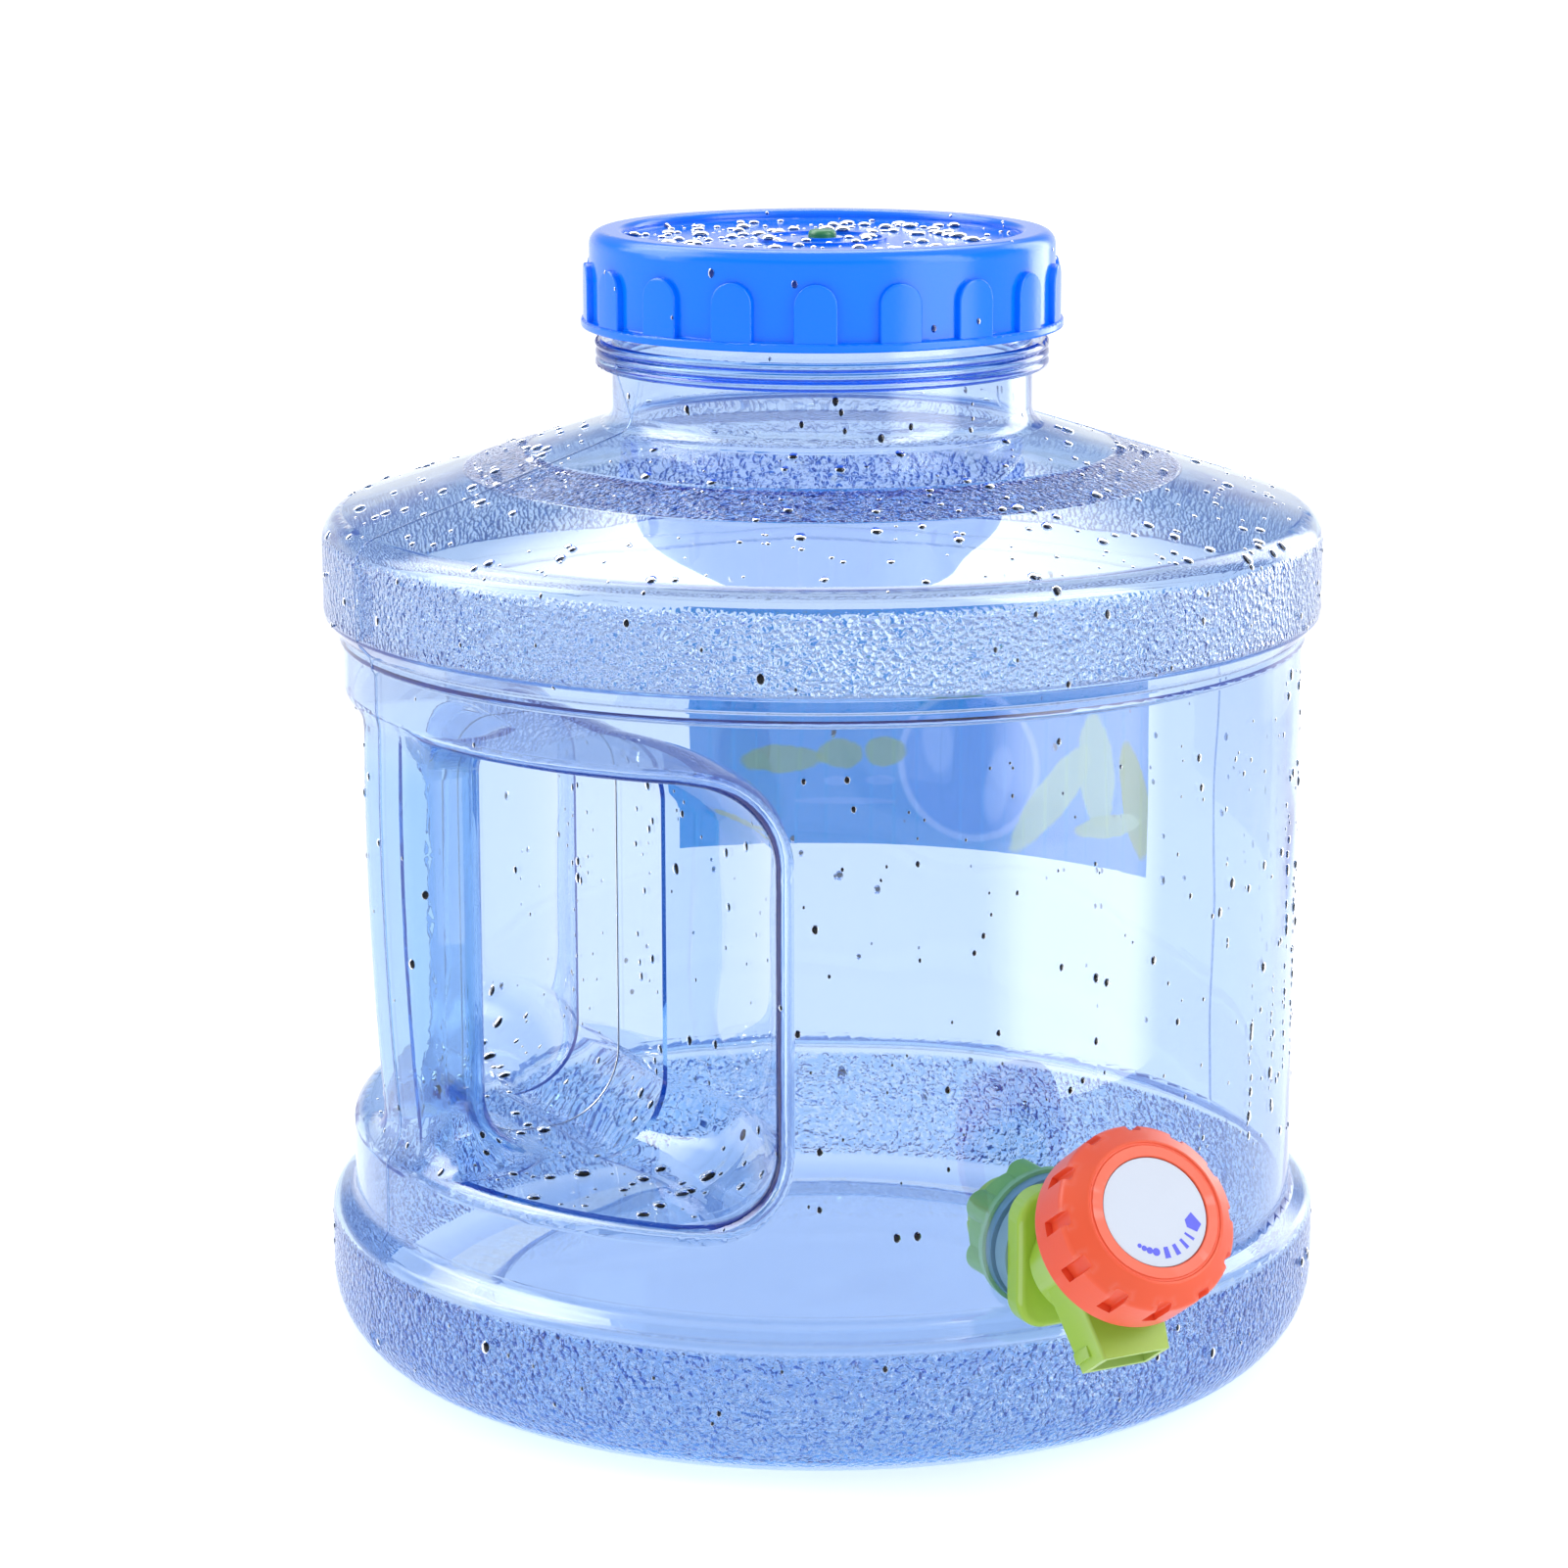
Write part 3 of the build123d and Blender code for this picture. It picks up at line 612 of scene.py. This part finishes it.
def dress_nodes():
    """Give each CAD node the material of its record slot."""
    made = {slot: make() for slot, make in FINISHES.items()}
    for part in RECORD["subparts"]:
        mesh = NODES[part["node"]].data
        mesh.materials.clear()
        mesh.materials.append(made[part["material_slot"]])


# ---- pieces --------------------------------------------------------------------------------------


def add_piece(name, points, faces, material, body, smooth=True):
    mesh = bpy.data.meshes.new(name)
    mesh.from_pydata(points, [], faces)
    mesh.materials.append(material)
    if smooth:
        mesh.shade_smooth()
    piece = bpy.data.objects.new(name, mesh)
    bpy.context.scene.collection.objects.link(piece)
    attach(piece, body)


class Surface:
    """A CAD piece's surface, for finding points on it by casting rays."""

    def __init__(self, node):
        data = NODES[node].data
        corners = [vertex.co.copy() for vertex in data.vertices]
        faces = [tuple(face.vertices) for face in data.polygons]
        self.tree = BVHTree.FromPolygons(corners, faces)

    def cast(self, origin, direction):
        """The place that a ray hits and its normal on the ray's side, or None."""
        place, normal, _, _ = self.tree.ray_cast(Vector(origin), Vector(direction))
        if place is None:
            return None
        if normal.dot(Vector(direction)) > 0:
            normal = -normal
        return place, normal

    def look_in(self, azimuth, z):
        """The hit on a wall, looking in towards the jug's axis at a height."""
        turn = math.radians(azimuth)
        out = Vector((math.sin(turn), -math.cos(turn), 0))
        return self.cast(out * OUTSIDE_R + Vector((0, 0, z)), -out)


class Drops(Surface):
    """Water drops: closed domes that lie on a surface, gathered into one mesh."""

    ROWS = 4
    SIDES = 14
    LIFT = 0.02 * MM
    FLATNESS = (0.45, 0.65)  # height as a share of the radius
    WOBBLE = (0.85, 1.12)  # unevenness of the outline

    def __init__(self, node, seed):
        super().__init__(node)
        self.random = random.Random(seed)
        self.points = []
        self.faces = []

    def put(self, hit, radius, stretch=1.0):
        """One dome at a hit point, longer by stretch in the direction that it would run."""
        if hit is None:
            return
        place, normal = hit
        if (place - TAP_CENTRE).length < TAP_CLEAR_R:
            return
        down = Vector((0, 0, -1))
        downhill = down - normal * down.dot(normal)
        if downhill.length < 0.05:
            turn = self.random.uniform(0, math.tau)
            downhill = normal.orthogonal()
            downhill.rotate(Matrix.Rotation(turn, 3, normal))
        downhill.normalize()
        aside = normal.cross(downhill)
        height = radius * self.random.uniform(*self.FLATNESS)
        top = place + normal * (height + self.LIFT)
        limits = zip(CAD_BOX[0], top, CAD_BOX[1])
        if any(not low <= value <= high for low, value, high in limits):
            return
        wobble = [self.random.uniform(*self.WOBBLE) for _ in range(self.SIDES)]
        first = len(self.points)
        for row in range(self.ROWS):
            lean = math.pi / 2 * row / self.ROWS
            reach, rise = math.cos(lean) ** 0.8, math.sin(lean)
            for side in range(self.SIDES):
                turn = math.tau * side / self.SIDES
                edge = reach * radius * (wobble[side] + wobble[side - 1]) / 2
                along = math.cos(turn) * edge * stretch + (1 - rise) * 0.15 * radius * (stretch - 1)
                spot = place + downhill * along + aside * math.sin(turn) * edge
                self.points.append(spot + normal * (rise * height + self.LIFT))
        self.points.append(top)
        peak = len(self.points) - 1
        for row in range(self.ROWS - 1):
            for side in range(self.SIDES):
                a = first + row * self.SIDES + side
                b = first + row * self.SIDES + (side + 1) % self.SIDES
                self.faces.append((a, a + self.SIDES, b + self.SIDES, b))
        last = first + (self.ROWS - 1) * self.SIDES
        for side in range(self.SIDES):
            self.faces.append((last + side, peak, last + (side + 1) % self.SIDES))
        self.faces.append(tuple(first + side for side in range(self.SIDES)))

    def size(self, small, large):
        """Mostly small drops and a few large ones."""
        return small + (large - small) * self.random.random() ** 2.3

    def wall(self, count, azimuths, heights, small, large, stretch=1.4):
        """Drops on a wall, found by looking in towards the jug's axis."""
        for _ in range(count):
            azimuth = self.random.uniform(*azimuths)
            z = self.random.uniform(*heights)
            self.put(self.look_in(azimuth, z), self.size(small, large), stretch)

    def level(self, count, radii, azimuths, start_z, small, large):
        """Drops on an upward surface, found by looking down from start_z."""
        for _ in range(count):
            reach = math.sqrt(self.random.uniform(radii[0] ** 2, radii[1] ** 2))
            turn = math.radians(self.random.uniform(*azimuths))
            spot = (math.sin(turn) * reach, -math.cos(turn) * reach, start_z)
            self.put(self.cast(spot, (0, 0, -1)), self.size(small, large), 1.15)

    def trail(self, azimuth, top_z, length, small, large):
        """A broken line of drops left by one that has run down a wall."""
        z = top_z
        while z > top_z - length:
            hit = self.look_in(azimuth + self.random.uniform(-0.5, 0.5), z)
            self.put(hit, self.size(small, large), 1.7)
            z -= self.random.uniform(1.5, 5.0) * MM

    def finish(self, name, body, material):
        add_piece(name, self.points, self.faces, material, body)


def jug_drops(material):
    """Drops on the shoulder, belt, walls, grip, base ring and foot of the neck, in that order."""
    drops = Drops("jug_body", 11)
    drops.level(460, (0.060, 0.131), ALL_ROUND, ABOVE_SHOULDER_Z, 0.4 * MM, 1.7 * MM)
    drops.wall(60, ALL_ROUND, (0.2, 0.224), 0.4 * MM, 1.1 * MM)
    drops.wall(120, (20, 75), (0.06, 0.19), 0.35 * MM, 1.2 * MM)
    drops.wall(170, (75, 330), (0.06, 0.19), 0.35 * MM, 1.3 * MM)
    drops.wall(80, (-30, 20), (0.06, 0.19), 0.3 * MM, 1.0 * MM)
    trails = (
        (46, 0.15, 0.07),
        (52, 0.13, 0.05),
        (40, 0.11, 0.035),
        (61, 0.17, 0.06),
        (33, 0.1, 0.03),
    )
    for azimuth, top_z, length in trails:
        drops.trail(azimuth, top_z, length, 0.35 * MM, 1.1 * MM)
    drops.level(110, (0.084, 0.122), (218, 322), 0.12, 0.4 * MM, 2.3 * MM)
    drops.wall(50, (228, 312), (0.07, 0.17), 0.35 * MM, 1.2 * MM)
    drops.wall(70, ALL_ROUND, (0.012, 0.036), 0.4 * MM, 1.5 * MM)
    drops.wall(26, ALL_ROUND, (0.252, 0.262), 0.4 * MM, 1.0 * MM)
    drops.finish("water_drops_on_jug", "jug", material)


def cap_drops(material):
    drops = Drops("cap_shell", 23)
    drops.level(240, (0.007, CAP_PANEL_R), ALL_ROUND, ABOVE_CAP_Z, 0.4 * MM, 2.3 * MM)
    drops.level(70, (CAP_PANEL_R, CAP_RIM_R), ALL_ROUND, ABOVE_CAP_Z, 0.3 * MM, 1.2 * MM)
    drops.wall(16, ALL_ROUND, (0.279, 0.296), 0.35 * MM, 0.9 * MM)
    drops.finish("water_drops_on_cap", "cap", material)


def valve_point(across, up, out):
    """A point by its places across, up and out along the valve axis."""
    side = Vector((1, 0, 0))
    return VALVE_POINT + side * across + VALVE_AXIS.cross(side) * up + VALVE_AXIS * out


def dial_marks():
    """A curved scale: bars that narrow towards an arrow, then dots past the widest bar."""
    graph = Graph("blue_dial_ink")
    tone = graph.blend(graph.noise(900).outputs["Fac"], (0.02, 0.03, 0.5), (0.03, 0.04, 0.66))
    graph.join(tone, graph.shader.inputs["Base Color"])
    graph.shader.inputs["Roughness"].default_value = 0.4
    points, faces = [], []

    def plate(outline):
        """A flat closed plate over an outline of (angle, radius) corners."""
        first, count = len(points), len(outline)
        for out in (DIAL_FACE - MARK_THICKNESS, DIAL_FACE + MARK_THICKNESS):
            for angle, radius in outline:
                turn = math.radians(angle)
                across, up = math.cos(turn) * radius * MM, math.sin(turn) * radius * MM
                points.append(valve_point(across, up, out))
        faces.append(tuple(first + i for i in reversed(range(count))))
        faces.append(tuple(first + count + i for i in range(count)))
        for i in range(count):
            j = (i + 1) % count
            faces.append((first + i, first + j, first + count + j, first + count + i))

    inner, outer = MARK_INNER, MARK_OUTER
    for middle, width in DIAL_BARS:
        near, far = middle - width / 2, middle + width / 2
        plate([(near, inner), (near, outer), (far, outer), (far, inner)])
    plate([(326, inner), (326, outer), (337, outer + 0.7), (351, 9.6), (337, inner - 0.9)])
    for dot, size in DIAL_DOTS:
        turn = math.radians(dot)
        centre = Vector((math.cos(turn), math.sin(turn))) * DOT_RING_R
        rim = []
        for corner in range(DOT_SIDES):
            turn = math.tau * corner / DOT_SIDES
            spot = centre + Vector((math.cos(turn), math.sin(turn))) * size
            rim.append((math.degrees(math.atan2(spot.y, spot.x)), spot.length))
        plate(rim)
    add_piece("dial_marks", points, faces, graph.material, "tap_handle", smooth=False)


def ridge(points, faces, path):
    """A thin raised rib along a path of (place, normal) pairs in the plane Y = 0."""
    first = len(points)
    corners = (
        (-RIB_HALF, 0),
        (-RIB_HALF * 0.6, RIB_RISE),
        (RIB_HALF * 0.6, RIB_RISE),
        (RIB_HALF, 0),
    )
    for place, normal in path:
        for aside, out in corners:
            points.append(place + Vector((0, aside, 0)) + normal * (out + RIB_LIFT))
    for i in range(len(path) - 1):
        a = first + 4 * i
        for j in range(4):
            k = (j + 1) % 4
            faces.append((a + j, a + k, a + 4 + k, a + 4 + j))
    faces.append(tuple(first + j for j in (3, 2, 1, 0)))
    faces.append(tuple(first + 4 * (len(path) - 1) + j for j in range(4)))


def mould_seam(material):
    """The line that the two halves of the blow mould leave, in the jug's plane through the grip."""
    body = Surface("jug_body")
    points, faces = [], []
    for start, end in SEAM_ARCS:
        path = []
        for step in range(int((end - start) / SEAM_STEP)):
            turn = math.radians(start + step * SEAM_STEP)
            out = Vector((math.cos(turn), 0, math.sin(turn)))
            hit = body.cast(SEAM_MIDDLE + out * SEAM_START, -out)
            tip = hit[0] + hit[1] * RIB_RISE
            if abs(tip.x) < BASE_R:
                path.append(hit)
        ridge(points, faces, path)
    path = []
    for step in range(int(360 / HOLE_STEP) + 1):
        turn = math.radians(step * HOLE_STEP)
        path.append(body.cast(GRIP_HOLE, (math.cos(turn), 0, math.sin(turn))))
    ridge(points, faces, path)
    add_piece("mould_seam", points, faces, material, "jug")


make_camera()
make_stage()
dress_nodes()
wet = water()
jug_drops(wet)
cap_drops(wet)
dial_marks()
mould_seam(seam_plastic())
